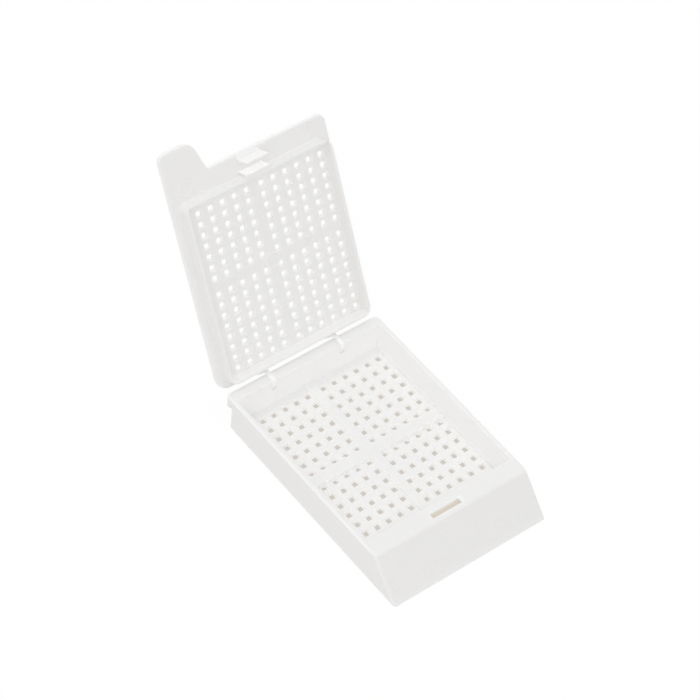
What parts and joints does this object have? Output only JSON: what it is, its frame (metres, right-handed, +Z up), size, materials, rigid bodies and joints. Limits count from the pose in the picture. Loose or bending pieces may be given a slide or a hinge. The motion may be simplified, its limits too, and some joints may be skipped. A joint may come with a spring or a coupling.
{
  "type": "tissue cassette",
  "caption": "Shallow perforated tray with a sloped writing face and a perforated snap lid on two strap hinges, for holding tissue during processing.",
  "frame": {"origin": "middle of the flat underside of the tray", "axes": "+Z up, +Y towards the hinge, +X to the right seen from the writing face"},
  "size_m": [0.0286, 0.0618, 0.0392],
  "materials": {
    "tray_plastic": "satin white acetal, fine grain on the writing face",
    "lid_plastic": "satin white acetal",
    "strap_plastic": "satin white acetal"
  },
  "bodies": {
    "tray": {"cassette_base": "tray_plastic", "hinge_strap_left": "strap_plastic", "hinge_strap_right": "strap_plastic"},
    "lid": {"lid": "lid_plastic"}
  },
  "joints": [
    {"name": "lid_hinge", "type": "hinge", "parent": "tray", "child": "lid", "pos_m": [0, 0.02047, 0.00467], "axis": [-1, 0, 0], "range_deg": [-118.2, 61.8], "deforming": ["hinge_strap_left", "hinge_strap_right"]}
  ]
}
